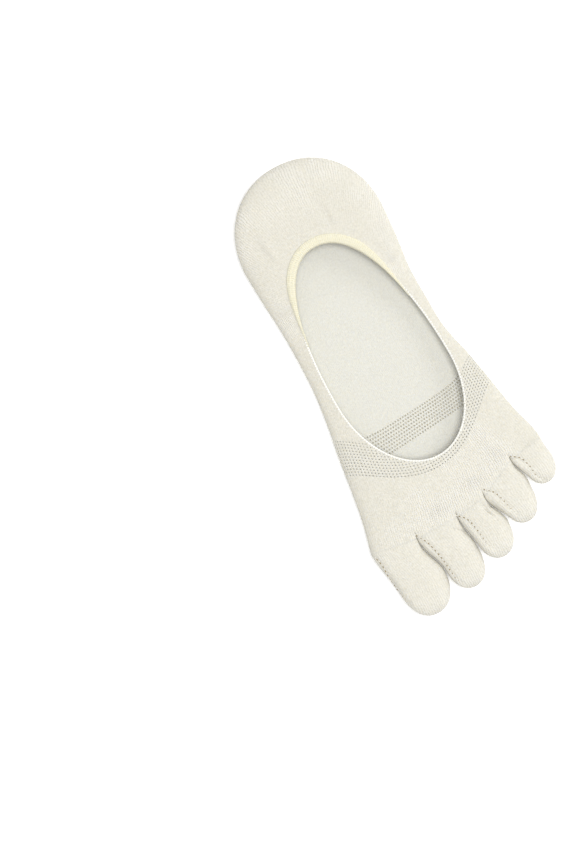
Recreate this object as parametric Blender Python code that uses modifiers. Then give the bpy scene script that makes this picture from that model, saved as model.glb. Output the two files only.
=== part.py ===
"""Low-cut toe sock for a left foot, lying flat on its sole.

Metres, +Z up. While it is built, the heel end is at Y = 0 and the toes point to -Y, with the
big toe at -X. At the end the whole sock is moved so that the origin lies on the floor, under
the centre of its box.
"""
import bisect
import math
from collections import namedtuple

import bmesh
import bpy
from mathutils import Vector

# Foot: from the heel end to the web between the big toe and the second toe.
FOOT_LENGTH = 0.1720
HEEL_WIDTH = 0.0668
WAIST_WIDTH = 0.0624
FOREFOOT_WIDTH = 0.0888
HEEL_HEIGHT = 0.0120
WAIST_HEIGHT = 0.0094
FOREFOOT_HEIGHT = 0.0105
HEEL_ROUND = 0.0355
HEEL_END_ROUND = 0.0140
HEEL_CENTRE = -0.0011
KNIT_WALL = 0.0012

# Toe pockets: each one's length from the middle of its root to its tip.
BIG_TOE_LENGTH = 0.0345
SECOND_TOE_LENGTH = 0.0303
THIRD_TOE_LENGTH = 0.0258
FOURTH_TOE_LENGTH = 0.0228
LITTLE_TOE_LENGTH = 0.0175
TOE_LEAN = 0.0033

# Foot opening: an egg with its narrow end at the heel. The knit left round it sets its size:
# behind it at the heel, beside it at the waist, and in front of it before the toes.
HEEL_COVER = 0.0390
SIDE_COVER = 0.0047
FRONT_COVER = 0.0285
OPENING_LEAN = 0.0063
EDGE_WIDTH = 0.0013
EDGE_THICKNESS = 0.0018
HEEL_BAND_WIDTH = 0.0028
HEEL_BAND_THICKNESS = 0.0018

# Folds pressed into the heel's upper face.
FOLD_RISE = 0.0009
FOLD_WIDTH = 0.0022

# Clearance between neighbouring pieces.
PIECE_GAP = 0.0003

OPENING_LENGTH = FOOT_LENGTH - HEEL_COVER - FRONT_COVER
OPENING_WIDTH = WAIST_WIDTH - 2.0 * SIDE_COVER

# Sections of the foot in front of the rounded heel.
# along: share of the foot's length. Sides: shares of the named width, from the centre line.
# height_share: share of the named height.
Section = namedtuple("Section", "along width big_toe_side little_toe_side height height_share")
FOOT_SECTIONS = (
    Section(0.206, HEEL_WIDTH, -0.519, 0.483, HEEL_HEIGHT, 1.00),
    Section(0.290, HEEL_WIDTH, -0.503, 0.474, HEEL_HEIGHT, 0.91),
    Section(0.380, WAIST_WIDTH, -0.514, 0.488, WAIST_HEIGHT, 1.05),
    Section(0.465, WAIST_WIDTH, -0.503, 0.498, WAIST_HEIGHT, 1.00),
    Section(0.552, WAIST_WIDTH, -0.503, 0.516, WAIST_HEIGHT, 0.98),
    Section(0.640, FOREFOOT_WIDTH, -0.368, 0.408, FOREFOOT_HEIGHT, 0.90),
    Section(0.727, FOREFOOT_WIDTH, -0.391, 0.446, FOREFOOT_HEIGHT, 0.93),
    Section(0.814, FOREFOOT_WIDTH, -0.409, 0.482, FOREFOOT_HEIGHT, 0.97),
    Section(0.901, FOREFOOT_WIDTH, -0.429, 0.529, FOREFOOT_HEIGHT, 1.00),
    Section(1.000, FOREFOOT_WIDTH, -0.469, 0.535, FOREFOOT_HEIGHT, 1.00),
)

# Toe pockets, from the big toe outwards.
# root_width and tip_width: shares of the forefoot's width. height: share of its height.
# web: how far along the foot the web on the pocket's little toe side lies.
Toe = namedtuple("Toe", "name length root_width tip_width height web")
TOES = (
    Toe("big_toe", BIG_TOE_LENGTH, 0.2354, 0.2523, 1.06, 1.000),
    Toe("second_toe", SECOND_TOE_LENGTH, 0.2241, 0.1959, 0.98, 0.997),
    Toe("third_toe", THIRD_TOE_LENGTH, 0.1633, 0.1903, 0.96, 0.983),
    Toe("fourth_toe", FOURTH_TOE_LENGTH, 0.1970, 0.1779, 0.95, 0.930),
    Toe("little_toe", LITTLE_TOE_LENGTH, 0.1802, 0.1622, 0.93, 0.913),
)
BIG_TOE_ROOT_ALONG = 0.983
BIG_TOE_ROOT_SIDE = -0.465

# Forms of the sections.
SIDE_ROUNDNESS = 4.5
TOE_ROUNDNESS = 2.6
HEEL_PLAN_ROUNDNESS = 2.1
HEEL_END_ROUNDNESS = 2.2
TOE_PLAN_ROUNDNESS = 2.2
TOE_END_ROUNDNESS = 2.2
OPENING_BACK_ROUNDNESS = 2.2
OPENING_FRONT_ROUNDNESS = 2.0
OPENING_WIDEST = 0.64
OPENING_BACK_LEAN = 0.33
MIDDLE_SHARE = 0.44
SOLE_FLATNESS = 1.14
WEB_OPENING = 0.45
TOE_SPREAD_SHARE = 0.60
TOE_CAP_SHARE = 0.72
TOE_END_SHARE = 0.80
STRAIGHT_END_SHARE = 0.006
GATHER_START = 0.87
HEM_CORNER_SHARE = 0.3
HEEL_BAND_REACH = math.radians(57)
HEEL_BAND_TIP = 0.25
BAND_RUN_OUT = math.radians(5)

# Heel folds. side: share of the heel's width. start and end: shares of the rounded heel.
# rise: share of the fold's rise, below nothing for a dent.
Fold = namedtuple("Fold", "side start end rise")
HEEL_FOLDS = (
    Fold(-0.300, 0.68, 1.04, 1.0),
    Fold(-0.345, 0.68, 1.04, -0.5),
    Fold(0.150, 0.62, 0.92, 0.8),
    Fold(0.100, 0.62, 0.92, -0.6),
)

# Numbers of mesh steps.
STEPS_ACROSS_TOE = 5
HEEL_RINGS = 9
FOOT_RINGS = 16
TOE_RINGS = 8
TOE_SIDES = 8
EDGE_STEPS = 64
BAND_STEPS = 22


def smooth(value):
    """Ease from 0 to 1, flat at both ends."""
    value = min(max(value, 0.0), 1.0)
    return value * value * (3.0 - 2.0 * value)


def rounded(share, power):
    """Height of a rounded bow at a share of its half width."""
    share = min(abs(share), 1.0)
    return (1.0 - share ** power) ** (1.0 / power)


def curve_through(points):
    """Smooth function through a few (position, value) points."""
    places = [point[0] for point in points]
    values = [point[1] for point in points]
    slopes = []
    for i in range(len(points)):
        before = max(i - 1, 0)
        after = min(i + 1, len(points) - 1)
        slopes.append((values[after] - values[before]) / (places[after] - places[before]))

    def value_at(place):
        place = min(max(place, places[0]), places[-1])
        i = min(bisect.bisect_right(places, place), len(places) - 1) - 1
        span = places[i + 1] - places[i]
        t = (place - places[i]) / span
        start = (1.0 + 2.0 * t) * (1.0 - t) ** 2
        end = t * t * (3.0 - 2.0 * t)
        bend_start = t * (1.0 - t) ** 2 * span
        bend_end = t * t * (t - 1.0) * span
        return (
            start * values[i]
            + end * values[i + 1]
            + bend_start * slopes[i]
            + bend_end * slopes[i + 1]
        )

    return value_at


def foot_curve(length_of):
    """Smooth function along the foot through one length of each of its sections."""
    return curve_through([(row.along * FOOT_LENGTH, length_of(row)) for row in FOOT_SECTIONS])


big_toe_side = foot_curve(lambda row: row.big_toe_side * row.width)
little_toe_side = foot_curve(lambda row: row.little_toe_side * row.width)
foot_height = foot_curve(lambda row: row.height_share * row.height)


def foot_sides(along):
    """The foot's two edges in X at a distance from the heel end."""
    if along >= HEEL_ROUND:
        return big_toe_side(along), little_toe_side(along)
    bow = rounded(1.0 - along / HEEL_ROUND, HEEL_PLAN_ROUNDNESS)
    return (
        HEEL_CENTRE + (big_toe_side(HEEL_ROUND) - HEEL_CENTRE) * bow,
        HEEL_CENTRE + (little_toe_side(HEEL_ROUND) - HEEL_CENTRE) * bow,
    )


def heel_end_bow(along):
    """How far the knit has risen from the heel end's middle line, from 0 to 1."""
    return rounded(1.0 - min(along / HEEL_END_ROUND, 1.0), HEEL_END_ROUNDNESS)


def wall_heights(height, bow):
    """Lowest and highest point of a section of this height where it has this bow."""
    middle = height * MIDDLE_SHARE
    top = middle + (height - middle) * bow
    bottom = max(middle - middle * SOLE_FLATNESS * bow, 0.0)
    return bottom, top


def heel_fold(x, along):
    """How far the heel's folds raise the upper face over a point of its plan."""
    rise = 0.0
    for fold in HEEL_FOLDS:
        start = fold.start * HEEL_ROUND
        end = fold.end * HEEL_ROUND
        middle = (start + end) / 2.0
        reach = max(1.0 - abs(along - middle) / (end - middle), 0.0)
        beside = (x - fold.side * HEEL_WIDTH) / FOLD_WIDTH
        rise += fold.rise * FOLD_RISE * smooth(reach) * math.exp(-beside * beside)
    return rise


def foot_top(x, along):
    """Height of the foot's upper face over a point of its plan."""
    left, right = foot_sides(along)
    share = (2.0 * x - left - right) / (right - left)
    bow = rounded(share, SIDE_ROUNDNESS) * heel_end_bow(along)
    return wall_heights(foot_height(along), bow)[1] + heel_fold(x, along)


def web_places():
    """Both ends of the toe roots and the four webs, each as (x, along)."""
    x = BIG_TOE_ROOT_SIDE * FOREFOOT_WIDTH
    places = [(x, BIG_TOE_ROOT_ALONG * FOOT_LENGTH)]
    for toe in TOES:
        x += toe.root_width * FOREFOOT_WIDTH
        places.append((x, toe.web * FOOT_LENGTH))
    return places


def crease_tips():
    """X of each toe's two sides once the toes have spread."""
    x = BIG_TOE_ROOT_SIDE * FOREFOOT_WIDTH + TOE_LEAN
    tips = [x]
    for toe in TOES:
        x += toe.tip_width * FOREFOOT_WIDTH
        tips.append(x)
    return tips


WEBS = web_places()
CREASE_TIPS = crease_tips()


def crease_x(number, along):
    """X of the line on which two toes touch, at a distance from the heel end."""
    root_x, root_along = WEBS[number]
    beside = TOES[max(number - 1, 0):number + 1]
    reach = TOE_SPREAD_SHARE * min(toe.length for toe in beside)
    spread = smooth((along - root_along) / reach)
    return root_x + (CREASE_TIPS[number] - root_x) * spread


def front_line():
    """Points across the foot's front edge, each as (share of its width, along, toe bow)."""
    first = WEBS[0][0]
    width = WEBS[-1][0] - first
    points = []
    for number, (start, end) in enumerate(zip(WEBS, WEBS[1:])):
        for step in range(STEPS_ACROSS_TOE + 1):
            is_web = step == 0 and number > 0
            if step == STEPS_ACROSS_TOE and number < len(TOES) - 1:
                continue
            across = -math.cos(math.pi * step / STEPS_ACROSS_TOE)
            part = (across + 1.0) / 2.0
            x = start[0] + (end[0] - start[0]) * part
            along = start[1] + (end[1] - start[1]) * part
            bow = WEB_OPENING if is_web else rounded(across, TOE_ROUNDNESS)
            points.append(((x - first) / width, along, bow))
    return points


FRONT_LINE = front_line()
FRONT_EDGE = FOOT_LENGTH - PIECE_GAP
STRAIGHT_END = STRAIGHT_END_SHARE * FOOT_LENGTH


def ring_from_walls(places, bottoms, tops):
    """Closed ring: over the top from the big toe's side, and back under the sole."""
    upper = [Vector((x, -along, top)) for (x, along), top in zip(places, tops)]
    lower = [Vector((x, -along, bottom)) for (x, along), bottom in zip(places, bottoms)]
    return upper + lower[-2:0:-1]


def foot_ring(along):
    """One ring of the foot, which takes the form of the toe roots towards the front edge."""
    gather_from = GATHER_START * FOOT_LENGTH
    gather = smooth((along - gather_from) / (FRONT_EDGE - STRAIGHT_END - gather_from))
    shift = [(root_along - FOOT_LENGTH) * gather for share, root_along, bow in FRONT_LINE]
    left = foot_sides(along + shift[0])[0]
    right = foot_sides(along + shift[-1])[1]
    places = []
    bottoms = []
    tops = []
    for (share, root_along, toe_bow), move in zip(FRONT_LINE, shift):
        place = along + move
        x = left + (right - left) * share
        side_bow = rounded(2.0 * share - 1.0, SIDE_ROUNDNESS)
        bow = side_bow + (toe_bow - side_bow) * gather
        bottom, top = wall_heights(foot_height(place), bow * heel_end_bow(along))
        places.append((x, place))
        bottoms.append(bottom)
        tops.append(top + heel_fold(x, place))
    return ring_from_walls(places, bottoms, tops)


def loft(name, rings, start_point=None, end_point=None):
    """Open surface through rings of equal count, closed to a point where one is given."""
    mesh = bmesh.new()
    rows = [[mesh.verts.new(point) for point in ring] for ring in rings]
    count = len(rows[0])
    for row, following in zip(rows, rows[1:]):
        for i in range(count):
            j = (i + 1) % count
            mesh.faces.new((row[i], row[j], following[j], following[i]))
    for point, row in ((start_point, rows[0]), (end_point, rows[-1])):
        if point is None:
            continue
        pole = mesh.verts.new(point)
        for i in range(count):
            mesh.faces.new((pole, row[i], row[(i + 1) % count]))
    bmesh.ops.recalc_face_normals(mesh, faces=mesh.faces)
    return mesh_object(name, mesh)


def mesh_object(name, mesh):
    """Object in the sock's collection from a bmesh."""
    data = bpy.data.meshes.new(name)
    mesh.to_mesh(data)
    mesh.free()
    data.shade_smooth()
    item = bpy.data.objects.new(name, data)
    sock_collection.objects.link(item)
    item.parent = sock_origin
    return item


def face_outwards(item, inside):
    """Turn an open surface's faces away from a point inside it."""
    data = item.data
    nearest = min(data.polygons, key=lambda face: (face.center - inside).length)
    if nearest.normal.dot(nearest.center - inside) < 0:
        data.flip_normals()


def add_wall(item):
    """Give an open surface the knit's thickness, inwards."""
    wall = item.modifiers.new("knit wall", "SOLIDIFY")
    wall.thickness = KNIT_WALL
    wall.offset = -1.0
    wall.use_quality_normals = True


def set_material(item, name, colour, roughness):
    """Matt yarn material in the piece's own colour."""
    material = bpy.data.materials.new(name)
    material.use_nodes = True
    shader = material.node_tree.nodes["Principled BSDF"]
    shader.inputs["Base Color"].default_value = (*colour, 1.0)
    shader.inputs["Roughness"].default_value = roughness
    shader.inputs["Metallic"].default_value = 0.0
    item.data.materials.append(material)


def opening_point(turn):
    """Point of the opening's inner edge; turn 0 is at the heel, growing to the little toe."""
    widest = HEEL_COVER + OPENING_LENGTH * OPENING_WIDEST
    if math.cos(turn) >= 0.0:
        depth = OPENING_LENGTH * OPENING_WIDEST
        power = OPENING_BACK_ROUNDNESS
    else:
        depth = OPENING_LENGTH * (1.0 - OPENING_WIDEST)
        power = OPENING_FRONT_ROUNDNESS
    along_part = math.copysign(abs(math.cos(turn)) ** (2.0 / power), math.cos(turn))
    side_part = math.copysign(abs(math.sin(turn)) ** (2.0 / power), math.sin(turn))
    along = widest - depth * along_part
    middle = OPENING_LEAN * ((along - HEEL_COVER) / OPENING_LENGTH - OPENING_BACK_LEAN)
    return Vector((middle + OPENING_WIDTH / 2.0 * side_part, along))


def opening_outward(turn):
    """Direction in plan that leads away from the opening."""
    step = math.radians(1.0)
    tangent = opening_point(turn + step) - opening_point(turn - step)
    return Vector((tangent.y, -tangent.x)).normalized()


def offset_opening(turn, distance):
    """Point at a distance outside the opening's inner edge."""
    return opening_point(turn) + opening_outward(turn) * distance


def band_width(turn):
    """Width of the heel band beside the opening edge at this turn."""
    share = min(abs(turn) / HEEL_BAND_REACH, 1.0)
    full = 1.0 - smooth(share) * (1.0 - HEEL_BAND_TIP)
    return HEEL_BAND_WIDTH * full


def cut_distance(turn):
    """Distance from the opening's inner edge to the knit's cut edge."""
    turn = math.remainder(turn, 2.0 * math.pi)
    band = band_width(turn) + PIECE_GAP
    past = abs(turn) - HEEL_BAND_REACH - BAND_RUN_OUT
    return EDGE_WIDTH + PIECE_GAP + band * (1.0 - smooth(past / BAND_RUN_OUT))


def hem_ring(turn, inner, outer, thickness):
    """Rounded section of a hem that lies in the foot's upper face."""
    half = thickness / 2.0
    corner = min(outer - inner, thickness) * HEM_CORNER_SHARE
    profile = (
        (inner, -half + corner),
        (inner, half - corner),
        (inner + corner, half),
        (outer - corner, half),
        (outer, half - corner),
        (outer, -half + corner),
        (outer - corner, -half),
        (inner + corner, -half),
    )
    points = []
    for distance, rise in profile:
        place = offset_opening(turn, distance)
        level = foot_top(place.x, place.y) - KNIT_WALL / 2.0
        points.append(Vector((place.x, -place.y, level + rise)))
    return points


def closed_strip(name, rings, is_loop):
    """Solid strip through section rings, as a loop or with flat ends."""
    mesh = bmesh.new()
    rows = [[mesh.verts.new(point) for point in ring] for ring in rings]
    count = len(rows[0])
    following_rows = rows[1:] + rows[:1] if is_loop else rows[1:]
    for row, following in zip(rows, following_rows):
        for i in range(count):
            j = (i + 1) % count
            mesh.faces.new((row[i], row[j], following[j], following[i]))
    if not is_loop:
        mesh.faces.new(rows[0])
        mesh.faces.new(rows[-1])
    bmesh.ops.recalc_face_normals(mesh, faces=mesh.faces)
    return mesh_object(name, mesh)


def make_foot():
    """Knitted body: sole, heel pouch and upper, with the opening cut in the upper."""
    rings = []
    for i in range(HEEL_RINGS):
        turn = (i + 1) / HEEL_RINGS * math.pi / 2.0
        rings.append(foot_ring(HEEL_ROUND * (1.0 - math.cos(turn))))
    for i in range(FOOT_RINGS):
        share = (i + 1) / FOOT_RINGS
        rings.append(foot_ring(HEEL_ROUND + (FRONT_EDGE - STRAIGHT_END - HEEL_ROUND) * share))
    rings.append([point - Vector((0.0, STRAIGHT_END, 0.0)) for point in rings[-1]])
    heel_middle = foot_height(0.0) * MIDDLE_SHARE
    foot = loft("foot", rings, start_point=Vector((HEEL_CENTRE, 0.0, heel_middle)))
    face_outwards(foot, Vector((0.0, -FOOT_LENGTH / 2.0, foot_height(FOOT_LENGTH / 2.0) / 2.0)))
    add_wall(foot)
    cut = foot.modifiers.new("foot opening", "BOOLEAN")
    cut.object = make_opening_cutter()
    cut.operation = "DIFFERENCE"
    cut.solver = "EXACT"
    set_material(foot, "cream knit", (0.80, 0.77, 0.68), 0.92)
    return foot


def make_opening_cutter():
    """Upright prism over the opening that reaches down to half the foot's height."""
    mesh = bmesh.new()
    floor = WAIST_HEIGHT / 2.0
    outline = []
    for i in range(EDGE_STEPS):
        turn = 2.0 * math.pi * i / EDGE_STEPS
        place = offset_opening(turn, cut_distance(turn))
        outline.append(mesh.verts.new((place.x, -place.y, floor)))
    face = mesh.faces.new(outline)
    extruded = bmesh.ops.extrude_face_region(mesh, geom=[face])
    raised = [part for part in extruded["geom"] if isinstance(part, bmesh.types.BMVert)]
    bmesh.ops.translate(mesh, verts=raised, vec=(0.0, 0.0, 2.0 * HEEL_HEIGHT))
    bmesh.ops.recalc_face_normals(mesh, faces=mesh.faces)
    data = bpy.data.meshes.new("opening_cutter")
    mesh.to_mesh(data)
    mesh.free()
    cutter = bpy.data.objects.new("opening_cutter", data)
    cutter.hide_render = True
    cutter.display_type = "WIRE"
    cutter_collection.objects.link(cutter)
    cutter.parent = sock_origin
    return cutter


def make_opening_edge():
    """Thin elastic edge, one loop round the whole opening."""
    rings = []
    for i in range(EDGE_STEPS):
        turn = 2.0 * math.pi * i / EDGE_STEPS
        rings.append(hem_ring(turn, 0.0, EDGE_WIDTH, EDGE_THICKNESS))
    edge = closed_strip("opening_edge", rings, is_loop=True)
    set_material(edge, "elastic edge yarn", (0.86, 0.84, 0.78), 0.85)
    return edge


def make_heel_band():
    """Wider elastic hem behind the opening edge at the heel, tapering along both sides."""
    inner = EDGE_WIDTH + PIECE_GAP
    rings = []
    for i in range(BAND_STEPS + 1):
        turn = HEEL_BAND_REACH * (2.0 * i / BAND_STEPS - 1.0)
        rings.append(hem_ring(turn, inner, inner + band_width(turn), HEEL_BAND_THICKNESS))
    band = closed_strip("heel_band", rings, is_loop=False)
    set_material(band, "heel band yarn", (0.84, 0.78, 0.60), 0.88)
    return band


def toe_ring(number, distance):
    """One ring of a toe pocket at a distance from the middle of its root."""
    toe = TOES[number]
    inner_web = WEBS[number][1]
    outer_web = WEBS[number + 1][1]
    root = (inner_web + outer_web) / 2.0
    root_height = foot_height(FOOT_LENGTH)
    cap = toe.tip_width * FOREFOOT_WIDTH * TOE_CAP_SHARE
    end = root_height * TOE_END_SHARE
    narrowing = rounded(max(distance - toe.length + cap, 0.0) / cap, TOE_PLAN_ROUNDNESS)
    lowering = rounded(max(distance - toe.length + end, 0.0) / end, TOE_END_ROUNDNESS)
    slant = 1.0 - smooth(distance / (TOE_SPREAD_SHARE * toe.length))
    left_along = root + distance + (inner_web - root) * slant
    right_along = root + distance + (outer_web - root) * slant
    left = crease_x(number, left_along)
    right = crease_x(number + 1, right_along)
    half = (right - left - PIECE_GAP) / 2.0 * narrowing
    height = root_height * (1.0 + (toe.height - 1.0) * (1.0 - slant))
    places = []
    bottoms = []
    tops = []
    for step in range(TOE_SIDES + 1):
        across = -math.cos(math.pi * step / TOE_SIDES)
        place = left_along + (right_along - left_along) * (across + 1.0) / 2.0
        bottom, top = wall_heights(height, rounded(across, TOE_ROUNDNESS) * lowering)
        places.append(((left + right) / 2.0 + half * across, place))
        bottoms.append(bottom)
        tops.append(top)
    return ring_from_walls(places, bottoms, tops)


def make_toe(number):
    """Knitted toe pocket, open at its root and closed at its tip."""
    toe = TOES[number]
    first = toe_ring(number, STRAIGHT_END)
    rings = [[point + Vector((0.0, STRAIGHT_END, 0.0)) for point in first], first]
    for i in range(1, TOE_RINGS):
        turn = i / TOE_RINGS * math.pi / 2.0
        rings.append(toe_ring(number, STRAIGHT_END + (toe.length - STRAIGHT_END) * math.sin(turn)))
    tip_ring = toe_ring(number, toe.length)
    pocket = loft(toe.name, rings, end_point=sum(tip_ring, Vector()) / len(tip_ring))
    face_outwards(pocket, sum(first, Vector()) / len(first))
    add_wall(pocket)
    set_material(pocket, toe.name + " knit", (0.82, 0.79, 0.71), 0.92)
    return pocket


def place_origin(pieces):
    """Move the sock so that the origin is under the middle of its box."""
    view = bpy.context.evaluated_depsgraph_get()
    corners = []
    for piece in pieces:
        corners.extend(Vector(corner) for corner in piece.evaluated_get(view).bound_box)
    low_x = min(corner.x for corner in corners)
    high_x = max(corner.x for corner in corners)
    low_y = min(corner.y for corner in corners)
    high_y = max(corner.y for corner in corners)
    sock_origin.location = (-(low_x + high_x) / 2.0, -(low_y + high_y) / 2.0, 0.0)


for old in list(bpy.data.objects):
    bpy.data.objects.remove(old, do_unlink=True)

sock_collection = bpy.data.collections.new("toe_sock")
cutter_collection = bpy.data.collections.new("toe_sock_cutters")
bpy.context.scene.collection.children.link(sock_collection)
bpy.context.scene.collection.children.link(cutter_collection)
sock_origin = bpy.data.objects.new("sock_origin", None)
sock_collection.objects.link(sock_origin)

sock_pieces = [make_foot(), make_opening_edge(), make_heel_band()]
sock_pieces += [make_toe(number) for number in range(len(TOES))]
place_origin(sock_pieces)
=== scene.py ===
import bisect
import math
from collections import namedtuple

import bmesh
import bpy
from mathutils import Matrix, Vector
from mathutils.bvhtree import BVHTree


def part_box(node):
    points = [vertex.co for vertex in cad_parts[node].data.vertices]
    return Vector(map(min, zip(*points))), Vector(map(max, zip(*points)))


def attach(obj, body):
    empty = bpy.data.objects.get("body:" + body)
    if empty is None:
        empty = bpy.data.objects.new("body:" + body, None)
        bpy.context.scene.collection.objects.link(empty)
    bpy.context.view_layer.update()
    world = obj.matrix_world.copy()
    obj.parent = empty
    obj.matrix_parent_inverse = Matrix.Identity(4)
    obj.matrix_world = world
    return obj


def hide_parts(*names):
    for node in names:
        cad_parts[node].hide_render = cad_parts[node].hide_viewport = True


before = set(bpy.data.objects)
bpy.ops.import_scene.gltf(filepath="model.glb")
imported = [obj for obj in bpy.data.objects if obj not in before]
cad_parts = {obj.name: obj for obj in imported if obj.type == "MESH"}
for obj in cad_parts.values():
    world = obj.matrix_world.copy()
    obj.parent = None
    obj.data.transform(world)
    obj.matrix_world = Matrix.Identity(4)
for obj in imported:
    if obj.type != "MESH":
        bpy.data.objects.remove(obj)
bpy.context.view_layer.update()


# FOOT
# The body of the sock: one tube of fine cream cotton yarn over elastic, knitted without seams.
# The heel is a turned pouch, the upper is cut low round a long opening, and a band of eyelets
# runs round the ball of the foot. Laid down empty, it keeps rounded sides and a flat sole.

MM = 0.001
FOOT_LENGTH = 0.1720
HEEL_WIDTH = 0.0668
WAIST_WIDTH = 0.0624
FOREFOOT_WIDTH = 0.0888
HEEL_HEIGHT = 0.0120
WAIST_HEIGHT = 0.0094
FOREFOOT_HEIGHT = 0.0105
HEEL_ROUND = 0.0355
HEEL_END_ROUND = 0.0140
HEEL_CENTRE = -0.0011
KNIT_WALL = 0.0010
SIDE_ROUNDNESS = 4.5
HEEL_PLAN_ROUNDNESS = 2.1
HEEL_END_ROUNDNESS = 2.2
MIDDLE_SHARE = 0.44
SOLE_FLATNESS = 1.14

# Sections in front of the rounded heel. along: share of the foot's length. Sides: shares of
# the named width, from the middle line. height_share: share of the named height.
Section = namedtuple("Section", "along width big_toe_side little_toe_side height height_share")
FOOT_SECTIONS = (
    Section(0.206, HEEL_WIDTH, -0.519, 0.483, HEEL_HEIGHT, 1.00),
    Section(0.290, HEEL_WIDTH, -0.503, 0.474, HEEL_HEIGHT, 0.91),
    Section(0.380, WAIST_WIDTH, -0.514, 0.488, WAIST_HEIGHT, 1.05),
    Section(0.465, WAIST_WIDTH, -0.503, 0.498, WAIST_HEIGHT, 1.00),
    Section(0.552, WAIST_WIDTH, -0.503, 0.516, WAIST_HEIGHT, 0.98),
    Section(0.640, FOREFOOT_WIDTH, -0.368, 0.408, FOREFOOT_HEIGHT, 0.90),
    Section(0.727, FOREFOOT_WIDTH, -0.391, 0.446, FOREFOOT_HEIGHT, 0.93),
    Section(0.814, FOREFOOT_WIDTH, -0.409, 0.482, FOREFOOT_HEIGHT, 0.97),
    Section(0.901, FOREFOOT_WIDTH, -0.429, 0.529, FOREFOOT_HEIGHT, 1.00),
    Section(1.000, FOREFOOT_WIDTH, -0.469, 0.535, FOREFOOT_HEIGHT, 1.00),
)

# Toe pockets, from the big toe outwards. length: from the middle of the root to the tip.
# root_width and tip_width: shares of the forefoot's width. height: share of its height.
# web: share of the foot's length at which the web on its little toe side lies.
# columns: columns of mesh across its upper face.
Toe = namedtuple("Toe", "name length root_width tip_width height web columns")
TOES = (
    Toe("big_toe", 0.0345, 0.2354, 0.2523, 1.06, 1.000, 30),
    Toe("second_toe", 0.0303, 0.2241, 0.1959, 0.98, 0.997, 29),
    Toe("third_toe", 0.0258, 0.1633, 0.1903, 0.96, 0.983, 21),
    Toe("fourth_toe", 0.0228, 0.1970, 0.1779, 0.95, 0.930, 25),
    Toe("little_toe", 0.0175, 0.1802, 0.1622, 0.93, 0.913, 23),
)
BIG_TOE_ROOT_ALONG = 0.983
BIG_TOE_ROOT_SIDE = -0.465
WEB_OPENING = 0.42
LOBE_REACH = 0.0034

# The egg-shaped opening, set by the knit left behind, beside and in front of it.
HEEL_COVER = 0.0390
SIDE_COVER = 0.0047
FRONT_COVER = 0.0285
OPENING_LENGTH = FOOT_LENGTH - HEEL_COVER - FRONT_COVER
OPENING_WIDTH = WAIST_WIDTH - 2.0 * SIDE_COVER
OPENING_LEAN = 0.0063
OPENING_BACK_LEAN = 0.33
OPENING_WIDEST = 0.64
OPENING_BACK_ROUNDNESS = 2.2
OPENING_FRONT_ROUNDNESS = 2.0
KNIT_UNDER_EDGE = 0.0006
UPPER_LEVEL = 0.6 * WAIST_HEIGHT

# Courses of the knit that the mesh follows: where each crosses the two sides, measured from
# the heel end, how far it bows towards the toes on the upper and on the sole, and the rows of
# mesh that lead up to it.
Course = namedtuple("Course", "big_toe_side little_toe_side upper_bow sole_bow rows")
HEEL_COURSE = Course(0.0600, 0.0600, 0.0, 0.0, 17)
EYELETS_START = Course(0.1180, 0.1110, 0.0185, 0.0070, 38)
EYELETS_END = Course(0.1350, 0.1260, 0.0185, 0.0025, 24)
HEEL_ROWS = 30
FOREFOOT_ROWS = 26

# Stitches: the width of a wale and the height of a course.
WALE = 0.00100
COURSE = 0.00075
HEEL_FAN_CENTRE = Vector((-0.0010, 0.0800))
HEEL_FAN_RADIUS = 0.0580
HEEL_FAN_WALE = 0.00095
EYELET_ON_UPPER = 0.56
EYELET_ON_SOLE = 0.22
EYELET_SINK = 0.00015

# Folds and dents: the points that each runs through, in millimetres from the middle line and
# from the heel end, half its width, and how far it rises or, below nothing, sinks.
Fold = namedtuple("Fold", "points half_width rise")
HEEL_FOLDS = (
    Fold(((-21.4, 27.5), (-20.6, 31.0), (-19.9, 34.5)), 1.5, 0.42),
    Fold(((-24.6, 27.0), (-23.8, 31.0), (-23.0, 35.0)), 2.4, -0.22),
    Fold(((6.6, 24.0), (8.3, 27.0), (8.7, 30.0), (8.0, 32.5)), 1.6, -0.30),
    Fold(((10.4, 28.5), (10.6, 30.5)), 1.7, 0.30),
)


# Where the knit is stretched and its wales stand out, with deeper bump and deeper painted shade
# between them, in millimetres from the middle line and from the heel end.
Patch = namedtuple("Patch", "x along half_width half_length relief")
PLAIN_RELIEF = 0.16
STRETCHED_PATCHES = (
    Patch(-6.0, 165.5, 9.0, 5.0, 0.85),
    Patch(13.0, 161.5, 9.0, 5.0, 0.85),
    Patch(27.5, 155.5, 6.0, 5.0, 0.85),
    Patch(24.0, 145.0, 4.5, 6.0, 0.60),
    Patch(9.0, 151.0, 9.0, 5.0, 0.30),
    Patch(-12.0, 156.0, 5.0, 5.0, 0.35),
    Patch(-27.0, 167.0, 9.0, 6.0, 0.25),
    Patch(2.5, 12.0, 4.5, 8.0, 0.45),
    Patch(13.5, 8.5, 3.0, 5.0, 0.60),
    Patch(19.5, 12.5, 3.5, 4.5, 0.50),
    Patch(29.5, 30.0, 3.0, 7.0, 0.65),
    Patch(28.0, 44.0, 4.0, 6.0, 0.55),
    Patch(23.0, 27.0, 3.0, 3.5, 0.30),
    Patch(-26.5, 14.0, 4.5, 4.0, 0.70),
    Patch(-31.5, 26.0, 4.0, 6.0, 0.45),
    Patch(0.0, 3.0, 6.0, 4.0, 0.45),
    Patch(-10.0, 17.0, 12.0, 6.0, 0.25),
    Patch(-28.0, 60.0, 4.0, 9.0, 0.50),
    Patch(25.0, 59.0, 4.0, 8.0, 0.50),
)


def smooth(value):
    """Ease from 0 to 1, flat at both ends."""
    value = min(max(value, 0.0), 1.0)
    return value * value * (3.0 - 2.0 * value)


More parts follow.
